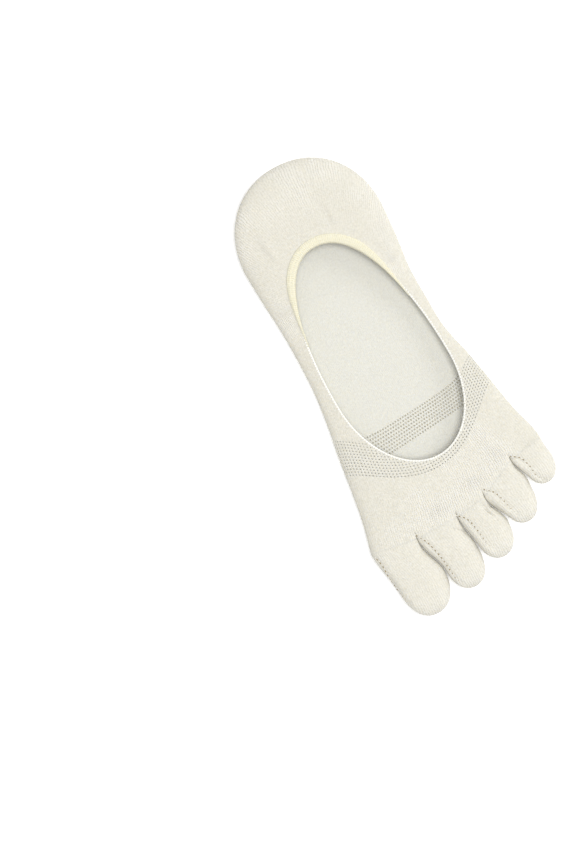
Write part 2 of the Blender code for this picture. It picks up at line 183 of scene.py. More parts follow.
def mix(start, end, part):
    """Value part of the way from start to end."""
    return start + (end - start) * part


def rounded(share, power):
    """Height of a rounded bow at a share of its half width."""
    share = min(abs(share), 1.0)
    return (1.0 - share ** power) ** (1.0 / power)


def curve_through(points):
    """Smooth function through a few (position, value) points."""
    places = [point[0] for point in points]
    values = [point[1] for point in points]
    slopes = []
    for i in range(len(points)):
        before = max(i - 1, 0)
        after = min(i + 1, len(points) - 1)
        slopes.append((values[after] - values[before]) / (places[after] - places[before]))

    def value_at(place):
        place = min(max(place, places[0]), places[-1])
        i = min(bisect.bisect_right(places, place), len(places) - 1) - 1
        span = places[i + 1] - places[i]
        t = (place - places[i]) / span
        return (
            (1.0 + 2.0 * t) * (1.0 - t) ** 2 * values[i]
            + t * t * (3.0 - 2.0 * t) * values[i + 1]
            + t * (1.0 - t) ** 2 * span * slopes[i]
            + t * t * (t - 1.0) * span * slopes[i + 1]
        )

    return value_at


def foot_curve(length_of):
    """Smooth function along the foot through one length of each of its sections."""
    return curve_through([(row.along * FOOT_LENGTH, length_of(row)) for row in FOOT_SECTIONS])


big_toe_side = foot_curve(lambda row: row.big_toe_side * row.width)
little_toe_side = foot_curve(lambda row: row.little_toe_side * row.width)
foot_height = foot_curve(lambda row: row.height_share * row.height)


def foot_sides(along):
    """The foot's two edges at a distance from the heel end."""
    if along >= HEEL_ROUND:
        return big_toe_side(along), little_toe_side(along)
    bow = rounded(1.0 - along / HEEL_ROUND, HEEL_PLAN_ROUNDNESS)
    return (
        mix(HEEL_CENTRE, big_toe_side(HEEL_ROUND), bow),
        mix(HEEL_CENTRE, little_toe_side(HEEL_ROUND), bow),
    )


def heel_end_bow(along):
    """How far the knit has risen from the heel end's middle line, from 0 to 1."""
    return rounded(1.0 - min(along / HEEL_END_ROUND, 1.0), HEEL_END_ROUNDNESS)


def wall_height(height, bow, on_top):
    """Height of the upper or the sole of a section where it has this bow."""
    middle = height * MIDDLE_SHARE
    if on_top:
        return middle + (height - middle) * bow
    return max(middle - middle * SOLE_FLATNESS * bow, 0.0)


def even_parts(count, power, flatness):
    """Places across a rounded section, from 0 to 1, evenly spaced over its upper face."""
    fine = 40 * count
    places = [(1.0 - math.cos(math.pi * i / fine)) / 2.0 for i in range(fine + 1)]
    lengths = [0.0]
    for start, end in zip(places, places[1:]):
        climb = rounded(2.0 * end - 1.0, power) - rounded(2.0 * start - 1.0, power)
        lengths.append(lengths[-1] + math.hypot(end - start, climb * flatness / 2.0))
    parts = []
    for i in range(count):
        reach = lengths[-1] * i / count
        j = max(bisect.bisect_right(lengths, reach) - 1, 0)
        parts.append(mix(places[j], places[j + 1], (reach - lengths[j]) / (lengths[j + 1] - lengths[j])))
    return parts + [1.0]


def web_places():
    """Both ends of the toe roots and the four webs, each as (x, along)."""
    x = BIG_TOE_ROOT_SIDE * FOREFOOT_WIDTH
    places = [Vector((x, BIG_TOE_ROOT_ALONG * FOOT_LENGTH))]
    for toe in TOES:
        x += toe.root_width * FOREFOOT_WIDTH
        places.append(Vector((x, toe.web * FOOT_LENGTH)))
    return places


WEBS = web_places()
ROOT_STEPS = (WEBS[0].x - foot_sides(WEBS[0].y)[0], WEBS[-1].x - foot_sides(WEBS[-1].y)[1])
TOE_FLATNESS = 0.6
TOE_EVEN_ROUNDNESS = 3.2
TOE_LEFT_ROUNDNESS = 5.0
TOE_RIGHT_ROUNDNESS = 2.4
TOE_FORM_REACH = 0.0090
WEB_REACH = 0.0050
FOOT_COLUMNS = sum(toe.columns for toe in TOES)
BODY_PARTS = even_parts(FOOT_COLUMNS, SIDE_ROUNDNESS, HEEL_HEIGHT / HEEL_WIDTH)


def column_places():
    """For each column of the foot: its toe, and its place across that toe from -1 to 1."""
    places = []
    for number, toe in enumerate(TOES):
        parts = even_parts(toe.columns, TOE_EVEN_ROUNDNESS, TOE_FLATNESS)
        first = 0 if number == 0 else 1
        places += [(number, 2.0 * part - 1.0) for part in parts[first:]]
    return places


COLUMN_PLACES = column_places()


def toe_bow(number, across, distance):
    """Bow of a toe's section, with an open web at its root and an asymmetric crown further on."""
    is_left = across < 0.0
    own = TOE_LEFT_ROUNDNESS if is_left else TOE_RIGHT_ROUNDNESS
    power = mix(SIDE_ROUNDNESS, own, smooth(distance / TOE_FORM_REACH))
    is_outer = (is_left and number == 0) or (not is_left and number == len(TOES) - 1)
    web = 0.0 if is_outer else WEB_OPENING * (1.0 - smooth(distance / WEB_REACH))
    return web + (1.0 - web) * rounded(across, power)


def gap_to_line(point, line):
    """Shortest distance in plan from a point to a line through a few points."""
    nearest = math.inf
    for start, end in zip(line, line[1:]):
        run_x = end[0] - start[0]
        run_y = end[1] - start[1]
        off_x = point[0] - start[0]
        off_y = point[1] - start[1]
        part = (off_x * run_x + off_y * run_y) / (run_x * run_x + run_y * run_y)
        part = min(max(part, 0.0), 1.0)
        nearest = min(nearest, math.hypot(off_x - run_x * part, off_y - run_y * part))
    return nearest


def fold_rise(folds, x, along):
    """Height that the folds add over a point of the plan."""
    point = (x / MM, along / MM)
    rise = 0.0
    for fold in folds:
        gap = gap_to_line(point, fold.points) / fold.half_width
        if gap < 3.0:
            rise += fold.rise * MM * math.exp(-gap * gap)
    return rise


def course_along(course, part, on_top):
    """Distance of a course from the heel end, at a part of the way across the foot."""
    across = 2.0 * part - 1.0
    side = mix(course.big_toe_side, course.little_toe_side, part)
    if on_top:
        return side + course.upper_bow * max(1.0 - across * across, 0.0) ** 1.5
    return side + course.sole_bow * (1.0 - across ** 4)


def foot_point(column, along, gather, on_top):
    """A point of the knit's outer face, gathered to the toe roots towards the front."""
    number, across = COLUMN_PLACES[column]
    left, right = [side + step * gather for side, step in zip(foot_sides(along), ROOT_STEPS)]
    body_x = mix(left, right, BODY_PARTS[column])
    root = WEBS[number].lerp(WEBS[number + 1], (across + 1.0) / 2.0)
    root_part = (root.x - WEBS[0].x) / (WEBS[-1].x - WEBS[0].x)
    root_left, root_right = foot_sides(root.y)
    at_root = root.x - mix(root_left + ROOT_STEPS[0], root_right + ROOT_STEPS[1], root_part)
    x = mix(body_x, mix(left, right, root_part) + at_root * gather, gather)
    side_bow = rounded((2.0 * x - left - right) / (right - left), SIDE_ROUNDNESS)
    lobe = 1.0 - smooth((root.y - along) / LOBE_REACH)
    bow = mix(side_bow, toe_bow(number, across, 0.0), lobe) * heel_end_bow(along)
    z = wall_height(foot_height(along), bow, on_top)
    if on_top:
        z += fold_rise(HEEL_FOLDS, x, along) * smooth(2.0 * bow)
    return Vector((x, along, z))


def foot_rows():
    """Rows of mesh from heel to toes: (start course, end course, part of the way, zone)."""
    rows = []
    for start, end, zone in (
        (HEEL_COURSE, EYELETS_START, "waist"),
        (EYELETS_START, EYELETS_END, "eyelets"),
    ):
        rows += [(start, end, (i + 1) / end.rows, zone) for i in range(end.rows)]
    rows += [(EYELETS_END, None, (i + 1) / FOREFOOT_ROWS, "forefoot") for i in range(FOREFOOT_ROWS)]
    return rows


def foot_rings():
    """Rings of (point, zone) round the foot: over the upper and back under the sole."""
    rings = []
    heel_rows = [HEEL_ROUND * (1.0 - math.cos((i + 1) / HEEL_ROWS * math.pi / 2.0)) for i in range(HEEL_ROWS)]
    heel_end = HEEL_COURSE.big_toe_side
    heel_rows += [mix(HEEL_ROUND, heel_end, (i + 1) / HEEL_COURSE.rows) for i in range(HEEL_COURSE.rows)]
    for along in heel_rows:
        top = [foot_point(column, along, 0.0, True) for column in range(FOOT_COLUMNS + 1)]
        sole = [foot_point(column, along, 0.0, False) for column in range(FOOT_COLUMNS + 1)]
        rings.append((top, sole, "heel"))
    for start, end, part, zone in foot_rows():
        faces = []
        for on_top in (True, False):
            points = []
            for column in range(FOOT_COLUMNS + 1):
                body = BODY_PARTS[column]
                gather = smooth(part) if end is None else 0.0
                number, across = COLUMN_PLACES[column]
                if end is None:
                    finish = WEBS[number].lerp(WEBS[number + 1], (across + 1.0) / 2.0).y
                else:
                    finish = course_along(end, body, on_top)
                along = mix(course_along(start, body, on_top), finish, part)
                points.append(foot_point(column, along, gather, on_top))
            faces.append(points)
        rings.append((faces[0], faces[1], zone))
    return rings


def opening_point(turn):
    """Point of the opening's inner edge; turn 0 is at the heel, growing to the little toe."""
    widest = HEEL_COVER + OPENING_LENGTH * OPENING_WIDEST
    if math.cos(turn) >= 0.0:
        depth = OPENING_LENGTH * OPENING_WIDEST
        power = OPENING_BACK_ROUNDNESS
    else:
        depth = OPENING_LENGTH * (1.0 - OPENING_WIDEST)
        power = OPENING_FRONT_ROUNDNESS
    along_part = math.copysign(abs(math.cos(turn)) ** (2.0 / power), math.cos(turn))
    side_part = math.copysign(abs(math.sin(turn)) ** (2.0 / power), math.sin(turn))
    along = widest - depth * along_part
    middle = OPENING_LEAN * ((along - HEEL_COVER) / OPENING_LENGTH - OPENING_BACK_LEAN)
    return Vector((middle + OPENING_WIDTH / 2.0 * side_part, along))


def offset_opening(turn, distance):
    """Point at a distance outside the opening's inner edge."""
    step = math.radians(1.0)
    tangent = opening_point(turn + step) - opening_point(turn - step)
    return opening_point(turn) + Vector((tangent.y, -tangent.x)).normalized() * distance


def inside_opening(x, along):
    """Whether a point of the plan lies inside the knit's cut edge."""
    widest = HEEL_COVER + OPENING_LENGTH * OPENING_WIDEST
    is_back = along < widest
    share = OPENING_WIDEST if is_back else 1.0 - OPENING_WIDEST
    power = OPENING_BACK_ROUNDNESS if is_back else OPENING_FRONT_ROUNDNESS
    depth = OPENING_LENGTH * share + KNIT_UNDER_EDGE
    middle = OPENING_LEAN * ((along - HEEL_COVER) / OPENING_LENGTH - OPENING_BACK_LEAN)
    side = abs(x - middle) / (OPENING_WIDTH / 2.0 + KNIT_UNDER_EDGE)
    return side ** power + (abs(along - widest) / depth) ** power < 1.0


def set_frame_place():
    """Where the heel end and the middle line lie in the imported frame."""
    low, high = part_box("foot")
    steps = 400
    sides = [foot_sides(FOOT_LENGTH * (i + 1) / steps) for i in range(steps)]
    root_left = WEBS[0].x
    left = min(min(side[0] for side in sides), root_left)
    right = max(side[1] for side in sides)
    return Vector(((low.x + high.x - left - right) / 2.0, high.y, low.z))


FRAME_PLACE = set_frame_place()


def in_frame(point):
    """A point given as (x, along, height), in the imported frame."""
    return Vector((FRAME_PLACE.x + point.x, FRAME_PLACE.y - point.y, FRAME_PLACE.z + point.z))


def heel_stitch(x, along):
    """Stitch coordinates on the heel, whose wales spread like a fan."""
    arm = Vector((x, along)) - HEEL_FAN_CENTRE
    angle = math.atan2(arm.x, -arm.y)
    return angle * HEEL_FAN_RADIUS / HEEL_FAN_WALE, arm.length / COURSE


def foot_stitch(x, along):
    """Stitch coordinates on the rest of the foot, whose wales share out its width."""
    left, right = foot_sides(along)
    part = (x - left) / max(right - left, MM)
    return part * (WEBS[-1].x - WEBS[0].x) / WALE, along / COURSE


def foot_relief(x, along):
    """How strongly the stitches stand out over a point of the plan, in bump and in painted groove shade."""
    relief = PLAIN_RELIEF
    for patch in STRETCHED_PATCHES:
        across = (x / MM - patch.x) / patch.half_width
        beside = (along / MM - patch.along) / patch.half_length
        relief += patch.relief * math.exp(-across * across - beside * beside)
    return min(relief, 1.0)


def add_rings(mesh, rings):
    """Skin closed rings of points with faces that look outwards; returns the rows of vertices."""
    rows = [[mesh.verts.new(in_frame(point)) for point in ring] for ring in rings]
    count = len(rows[0])
    for row, following in zip(rows, rows[1:]):
        for i in range(count):
            j = (i + 1) % count
            mesh.faces.new((row[i], following[i], following[j], row[j]))
    return rows


def close_end(mesh, row, point, at_start):
    """Close a row of vertices to one point at the surface's start or end."""
    pole = mesh.verts.new(in_frame(point))
    for i in range(len(row)):
        j = (i + 1) % len(row)
        corners = (pole, row[i], row[j]) if at_start else (pole, row[j], row[i])
        mesh.faces.new(corners)


def write_stitches(mesh, stitch_at, relief_at):
    """Give each face's corners their stitch coordinates, and each vertex its relief."""
    stitches = mesh.loops.layers.uv.new("stitches")
    relief = mesh.verts.layers.float.new("relief")
    for face in mesh.faces:
        middle = face.calc_center_median()
        middle_along = FRAME_PLACE.y - middle.y
        for loop in face.loops:
            x = loop.vert.co.x - FRAME_PLACE.x
            along = FRAME_PLACE.y - loop.vert.co.y
            loop[stitches].uv = stitch_at(x, along, middle_along)
    for vertex in mesh.verts:
        vertex[relief] = relief_at(vertex.co.x - FRAME_PLACE.x, FRAME_PLACE.y - vertex.co.y)


def new_object(name, mesh):
    """Object from a bmesh, smooth shaded, at the origin."""
    data = bpy.data.meshes.new(name)
    mesh.to_mesh(data)
    mesh.free()
    data.shade_smooth()
    piece = bpy.data.objects.new(name, data)
    bpy.context.scene.collection.objects.link(piece)
    return piece


def plain_mesh(piece):
    """Turn an object's evaluated shape into its own plain mesh, without modifiers."""
    view = bpy.context.evaluated_depsgraph_get()
    data = bpy.data.meshes.new_from_object(piece.evaluated_get(view))
    piece.modifiers.clear()
    piece.data = data
    return piece


def add_knit_wall(piece, inner_material):
    """Give an open surface the knit's thickness, inwards, with the yarn's back inside."""
    piece.data.materials.append(inner_material)
    wall = piece.modifiers.new("knit wall", "SOLIDIFY")
    wall.thickness = KNIT_WALL
    wall.offset = -1.0
    wall.use_quality_normals = True
    wall.material_offset = 1
    plain_mesh(piece)
    piece.data.shade_smooth()
    piece.data.set_sharp_from_angle(angle=math.radians(55.0))


def foot_surface():
    """The foot's outer face, with the opening cut out and the eyelets marked."""
    rings = foot_rings()
    mesh = bmesh.new()
    rows = add_rings(mesh, [top + sole[-2:0:-1] for top, sole, zone in rings])
    heel_middle = foot_height(0.0) * MIDDLE_SHARE
    close_end(mesh, rows[0], Vector((HEEL_CENTRE, 0.0, heel_middle)), True)
    mesh.faces.ensure_lookup_table()
    eyelet = mesh.faces.layers.float.new("eyelet")
    count = 2 * FOOT_COLUMNS
    eyelet_row = 0
    for number in range(len(rings) - 1):
        if rings[number + 1][2] != "eyelets":
            continue
        eyelet_row += 1
        for column in range(count):
            mesh.faces[number * count + column][eyelet] = eyelet_size(eyelet_row, column)
    front = set(rows[-1])
    gone = []
    for face in mesh.faces:
        middle = face.calc_center_median()
        place = Vector((middle.x - FRAME_PLACE.x, FRAME_PLACE.y - middle.y))
        if middle.z > UPPER_LEVEL and inside_opening(place.x, place.y):
            gone.append(face)
    bmesh.ops.delete(mesh, geom=gone, context="FACES")
    snap_to_opening(mesh, front)
    write_stitches(mesh, stitch_on_foot, foot_relief)
    return new_object("foot_knit", mesh)


def stitch_on_foot(x, along, middle_along):
    """Stitch coordinates of the heel or of the rest of the foot."""
    if middle_along < HEEL_COURSE.big_toe_side:
        return heel_stitch(x, along)
    return foot_stitch(x, along)


def eyelet_size(row, column):
    """Share of this cell of the eyelet band that is open, or 0 where the cell is knit."""
    if column < FOOT_COLUMNS:
        is_hole = row % 2 == 1 and column % 2 == 0 and 2 < column < FOOT_COLUMNS - 2
        return EYELET_ON_UPPER * is_hole
    return EYELET_ON_SOLE * (row % 3 == 1 and (column + row // 3) % 2 == 0)


def snap_to_opening(mesh, front):
    """Bring the stepped border of the opening onto its smooth cut edge."""
    steps = 1440
    edge = [offset_opening(2.0 * math.pi * i / steps, KNIT_UNDER_EDGE) for i in range(steps)]
    border = [vertex for vertex in mesh.verts if vertex.is_boundary and vertex not in front]
    for vertex in border:
        place = Vector((vertex.co.x - FRAME_PLACE.x, FRAME_PLACE.y - vertex.co.y))
        nearest = min(edge, key=lambda point: (point - place).length_squared)
        vertex.co = in_frame(Vector((nearest.x, nearest.y, foot_top(nearest.x, nearest.y))))


def foot_top(x, along):
    """Height of the foot's upper face over a point of its plan."""
    left, right = foot_sides(along)
    share = (2.0 * x - left - right) / (right - left)
    bow = rounded(share, SIDE_ROUNDNESS) * heel_end_bow(along)
    return wall_height(foot_height(along), bow, True) + fold_rise(HEEL_FOLDS, x, along)


def eyelet_tree(material):
    """Geometry Nodes that punch a hole through each marked cell of the knit."""
    tree = bpy.data.node_groups.new("punch eyelets", "GeometryNodeTree")
    sockets = tree.interface
    sockets.new_socket("Knit", in_out="INPUT", socket_type="NodeSocketGeometry")
    sink = sockets.new_socket("Sink", in_out="INPUT", socket_type="NodeSocketFloat")
    sockets.new_socket("Punched", in_out="OUTPUT", socket_type="NodeSocketGeometry")
    nodes = tree.nodes
    links = tree.links
    source = nodes.new("NodeGroupInput")
    marked = nodes.new("GeometryNodeInputNamedAttribute")
    marked.data_type = "FLOAT"
    marked.inputs["Name"].default_value = "eyelet"
    is_hole = nodes.new("FunctionNodeCompare")
    is_hole.inputs["B"].default_value = 0.01
    extrude = nodes.new("GeometryNodeExtrudeMesh")
    extrude.inputs["Individual"].default_value = True
    narrow = nodes.new("GeometryNodeScaleElements")
    punch = nodes.new("GeometryNodeDeleteGeometry")
    punch.domain = "FACE"
    realize = nodes.new("GeometryNodeRealizeInstances")
    paint = nodes.new("GeometryNodeSetMaterial")
    paint.inputs["Material"].default_value = material
    result = nodes.new("NodeGroupOutput")
    links.new(marked.outputs["Attribute"], is_hole.inputs["A"])
    links.new(source.outputs["Knit"], extrude.inputs["Mesh"])
    links.new(is_hole.outputs["Result"], extrude.inputs["Selection"])
    links.new(source.outputs["Sink"], extrude.inputs["Offset Scale"])
    links.new(extrude.outputs["Mesh"], narrow.inputs["Geometry"])
    links.new(extrude.outputs["Top"], narrow.inputs["Selection"])
    links.new(marked.outputs["Attribute"], narrow.inputs["Scale"])
    links.new(narrow.outputs["Geometry"], punch.inputs["Geometry"])
    links.new(extrude.outputs["Top"], punch.inputs["Selection"])
    links.new(punch.outputs["Geometry"], realize.inputs["Geometry"])
    links.new(realize.outputs["Geometry"], paint.inputs["Geometry"])
    links.new(paint.outputs["Geometry"], result.inputs["Punched"])
    return tree, sink.identifier


def maths(nodes, links, operation, first, second=0.0):
    """Math node whose inputs are sockets or plain numbers; returns its output."""
    node = nodes.new("ShaderNodeMath")
    node.operation = operation
    for socket, value in zip(node.inputs, (first, second)):
        if isinstance(value, (int, float)):
            socket.default_value = value
        else:
            links.new(value, socket)
    return node.outputs["Value"]


def knit_material(name, light, shade, depth, lean):
    """Cream yarn: wales and courses from the stitch coordinates, with uneven, mottled yarn, and painted shade
    that darkens the grooves between wales and courses.
    """
    material = bpy.data.materials.new(name)
    material.use_nodes = True
    nodes = material.node_tree.nodes
    links = material.node_tree.links
    shader = nodes["Principled BSDF"]
    shader.inputs["Roughness"].default_value = 0.92
    shader.inputs["Sheen Weight"].default_value = 0.08
    shader.inputs["Sheen Roughness"].default_value = 0.50
    shader.inputs["Sheen Tint"].default_value = (1.0, 0.94, 0.80, 1.0)
    shader.inputs["Specular IOR Level"].default_value = 0.15
    shader.inputs["Subsurface Weight"].default_value = 0.30
    shader.inputs["Subsurface Radius"].default_value = (1.0, 0.90, 0.70)
    shader.inputs["Subsurface Scale"].default_value = 0.0015
    stitches = nodes.new("ShaderNodeUVMap")
    stitches.uv_map = "stitches"
    parts = nodes.new("ShaderNodeSeparateXYZ")
    links.new(stitches.outputs["UV"], parts.inputs["Vector"])
    place = nodes.new("ShaderNodeTexCoord")
    wander = nodes.new("ShaderNodeTexNoise")
    wander.inputs["Scale"].default_value = 330.0
    wander.inputs["Detail"].default_value = 3.0
    links.new(place.outputs["Object"], wander.inputs["Vector"])
    patches = nodes.new("ShaderNodeTexNoise")
    patches.inputs["Scale"].default_value = 1100.0
    patches.inputs["Detail"].default_value = 2.0
    links.new(place.outputs["Object"], patches.inputs["Vector"])
    drift = maths(nodes, links, "MULTIPLY", wander.outputs["Fac"], 1.6)
    wale = maths(nodes, links, "ADD", parts.outputs["X"], drift)
    from_middle = maths(nodes, links, "SUBTRACT", maths(nodes, links, "FRACT", wale), 0.5)
    beside = maths(nodes, links, "MULTIPLY", maths(nodes, links, "ABSOLUTE", from_middle), 2.0)
    rib = maths(nodes, links, "SUBTRACT", 1.0, maths(nodes, links, "POWER", beside, 2.0))
    skewed = maths(nodes, links, "MULTIPLY", beside, lean)
    course = maths(nodes, links, "ADD", parts.outputs["Y"], skewed)
    turn = maths(nodes, links, "MULTIPLY", course, 2.0 * math.pi)
    leg = maths(nodes, links, "MULTIPLY", maths(nodes, links, "COSINE", turn), 0.22)
    stitch = maths(nodes, links, "ADD", maths(nodes, links, "MULTIPLY", rib, 0.95), leg)
    relief = nodes.new("ShaderNodeAttribute")
    relief.attribute_name = "relief"
    shown = maths(nodes, links, "MULTIPLY", stitch, relief.outputs["Fac"])
    lump = maths(nodes, links, "MULTIPLY", patches.outputs["Fac"], 0.9)
    height = maths(nodes, links, "ADD", shown, lump)
    bump = nodes.new("ShaderNodeBump")
    bump.inputs["Distance"].default_value = depth
    bump.inputs["Strength"].default_value = 1.0
    links.new(height, bump.inputs["Height"])
    links.new(bump.outputs["Normal"], shader.inputs["Normal"])
    # Colour follows the same height: painted shade in the grooves, lighter on the crowns, plus the yarn's
    # random mottling.
    groove_shade_and_mottle = nodes.new("ShaderNodeMapRange")
    groove_shade_and_mottle.inputs["From Min"].default_value = -0.10
    groove_shade_and_mottle.inputs["From Max"].default_value = 0.95
    links.new(height, groove_shade_and_mottle.inputs["Value"])
    colour = nodes.new("ShaderNodeMix")
    colour.data_type = "RGBA"
    colour.inputs["A"].default_value = (*shade, 1.0)
    colour.inputs["B"].default_value = (*light, 1.0)
    links.new(groove_shade_and_mottle.outputs["Result"], colour.inputs["Factor"])
    links.new(colour.outputs["Result"], shader.inputs["Base Color"])
    return material


# Painted shade: the second colour of each knit yarn darkens the grooves between wales and courses.
face_yarn = knit_material("knit face yarn", (0.715, 0.694, 0.628), (0.50, 0.478, 0.395), 0.00024, 0.5)
back_yarn = knit_material("knit back yarn", (0.68, 0.675, 0.62), (0.55, 0.54, 0.485), 0.00016, 1.0)

foot_knit = foot_surface()
punch_tree, sink_input = eyelet_tree(face_yarn)
punch = foot_knit.modifiers.new("punch eyelets", "NODES")
punch.node_group = punch_tree
punch[sink_input] = -EYELET_SINK
plain_mesh(foot_knit)
add_knit_wall(foot_knit, back_yarn)
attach(foot_knit, "root")
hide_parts("foot")


# TOE POCKETS
# Five pockets knitted on to the front of the foot, each closed at its tip. A pocket is sewn
# shut along its big toe side, so it stands higher and squarer there and slopes off on the
# other side, and the knit puckers between the roots where the pockets part.

TOE_LEAN = 0.0033
TOE_SPREAD_SHARE = 0.60
SPREAD_DELAY = 1.25
TOE_CAP_SHARE = 0.72
TOE_END_SHARE = 0.80
TOE_PLAN_ROUNDNESS = 2.2
TOE_END_ROUNDNESS = 2.2
CREASE_GAP = 0.0004
TOE_ROWS = 34
TOE_PLAIN_RELIEF = 0.25
TOE_TIP_RELIEF = 0.45
TOE_TIP_REACH = 0.0070

# Line of each toe's seam, in millimetres from the middle line and from the heel end.
Seam = namedtuple("Seam", "toe points")
SEAMS = (
    Seam("big_toe", ((-40.2, 171.0), (-39.1, 175.5), (-38.8, 182.0), (-37.9, 188.5), (-36.3, 196.0))),
    Seam("second_toe", ((-20.3, 170.0), (-16.9, 176.0), (-14.6, 184.5), (-13.2, 194.5), (-11.3, 198.4))),
    Seam("third_toe", ((-1.0, 170.3), (3.0, 174.5), (4.8, 181.0), (5.9, 188.0), (7.8, 190.7))),
    Seam("fourth_toe", ((14.5, 165.5), (18.5, 169.0), (20.5, 173.5), (21.8, 178.2), (23.6, 182.2))),
    Seam("little_toe", ((31.0, 158.0), (35.5, 161.0), (37.6, 166.0), (38.5, 171.0), (41.0, 175.0))),
)
SEAM_HALF_WIDTH = 0.7
SEAM_SINK = 0.45
TOE_FOLDS = tuple(Fold(seam.points, SEAM_HALF_WIDTH, -SEAM_SINK) for seam in SEAMS) + (
    Fold(((-4.6, 176.0), (-2.5, 177.2), (-0.3, 178.6)), 0.7, -1.4),
    Fold(((-2.4, 174.6), (-1.6, 176.0)), 0.9, 0.5),
    Fold(((-3.4, 180.5), (-3.0, 184.0)), 1.2, -0.5),
    Fold(((11.7, 172.0), (11.7, 174.5), (12.9, 178.0), (14.0, 180.5)), 0.9, -1.2),
    Fold(((13.6, 170.8), (13.2, 173.5), (14.6, 177.5)), 0.9, 0.8),
    Fold(((14.5, 173.5), (16.2, 175.4), (18.0, 178.0)), 0.6, -1.5),
    Fold(((33.2, 163.2), (33.9, 165.2)), 0.8, 0.7),
)


def crease_tips():
    """X of each toe's two sides once the toes have spread."""
    x = BIG_TOE_ROOT_SIDE * FOREFOOT_WIDTH + TOE_LEAN
    tips = [x]
    for toe in TOES:
        x += toe.tip_width * FOREFOOT_WIDTH
        tips.append(x)
    return tips


CREASE_TIPS = crease_tips()


def crease_x(number, along):
    """X of the line on which two toes touch, at a distance from the heel end."""
    root_x, root_along = WEBS[number]
    beside = TOES[max(number - 1, 0):number + 1]
    reach = TOE_SPREAD_SHARE * min(toe.length for toe in beside)
    spread = smooth((along - root_along) / reach) ** SPREAD_DELAY
    return mix(root_x, CREASE_TIPS[number], spread)


def toe_ring(number, distance):
    """Ring of a toe pocket at a distance from the middle of its root."""
    toe = TOES[number]
    inner_web = WEBS[number].y
    outer_web = WEBS[number + 1].y
    root = (inner_web + outer_web) / 2.0
    cap = toe.tip_width * FOREFOOT_WIDTH * TOE_CAP_SHARE
    end = FOREFOOT_HEIGHT * TOE_END_SHARE
    narrowing = rounded(max(distance - toe.length + cap, 0.0) / cap, TOE_PLAN_ROUNDNESS)
    lowering = rounded(max(distance - toe.length + end, 0.0) / end, TOE_END_ROUNDNESS)
    slant = 1.0 - smooth(distance / (TOE_SPREAD_SHARE * toe.length))
    left_along = root + distance + (inner_web - root) * slant
    right_along = root + distance + (outer_web - root) * slant
    left = crease_x(number, left_along)
    right = crease_x(number + 1, right_along)
    gap = CREASE_GAP * smooth(distance / WEB_REACH)
    half = (right - left - gap) / 2.0 * narrowing
    own_height = mix(toe.height, 1.0, slant)
    top = []
    sole = []
    for part in even_parts(toe.columns, TOE_EVEN_ROUNDNESS, TOE_FLATNESS):
        across = 2.0 * part - 1.0
        along = mix(left_along, right_along, part)
        x = (left + right) / 2.0 + half * across
        bow = toe_bow(number, across, distance) * lowering
        height = foot_height(min(along, FOOT_LENGTH)) * own_height
        rise = fold_rise(TOE_FOLDS, x, along) * smooth(2.0 * bow)
        top.append(Vector((x, along, wall_height(height, bow, True) + rise)))
        sole.append(Vector((x, along, wall_height(height, bow, False))))
    return top + sole[::-1]


def toe_stitch(number):
    """Stitch coordinates of a toe, whose wales run along it."""
    toe = TOES[number]

    def stitch_at(x, along, middle_along):
        left = crease_x(number, along)
        right = crease_x(number + 1, along)
        return (x - left) / (right - left) * toe.tip_width * FOREFOOT_WIDTH / WALE, along / COURSE

    return stitch_at


def toe_relief(number):
    """How strongly a toe's stitches stand out, in bump and in painted groove shade: most at its tip."""
    toe = TOES[number]
    tip = (WEBS[number].y + WEBS[number + 1].y) / 2.0 + toe.length

    def relief_at(x, along):
        return TOE_PLAIN_RELIEF + TOE_TIP_RELIEF * math.exp(-((tip - along) / TOE_TIP_REACH) ** 2)

    return relief_at


def make_toe(number):
    """Knitted toe pocket, open at its root and closed at its tip."""
    toe = TOES[number]
    rings = []
    for i in range(TOE_ROWS):
        rings.append(toe_ring(number, toe.length * math.sin(i / TOE_ROWS * math.pi / 2.0)))
    tip_ring = toe_ring(number, toe.length)
    mesh = bmesh.new()
    rows = add_rings(mesh, rings)
    close_end(mesh, rows[-1], sum(tip_ring, Vector()) / len(tip_ring), False)
    bmesh.ops.remove_doubles(mesh, verts=mesh.verts, dist=2e-6)
    bmesh.ops.dissolve_degenerate(mesh, dist=1e-7, edges=mesh.edges)
    write_stitches(mesh, toe_stitch(number), toe_relief(number))
    piece = new_object(toe.name + "_knit", mesh)
    piece.data.materials.append(face_yarn)
    add_knit_wall(piece, back_yarn)
    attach(piece, "root")
    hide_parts(toe.name)
    return piece


toe_knits = [make_toe(number) for number in range(len(TOES))]


# TOE SEAMS
# Each pocket's seam is linked with a run of short stitches that lie in a shallow groove. Between
# one stitch and the next a small dark oval of painted shade stands for the shadow in the needle hole.

STITCH_SPACING = 0.0020
STITCH_SIZE = Vector((0.00115, 0.00062, 0.00045))
HOLE_SHADOW_SIZE = Vector((0.00110, 0.00058, 0.00036))


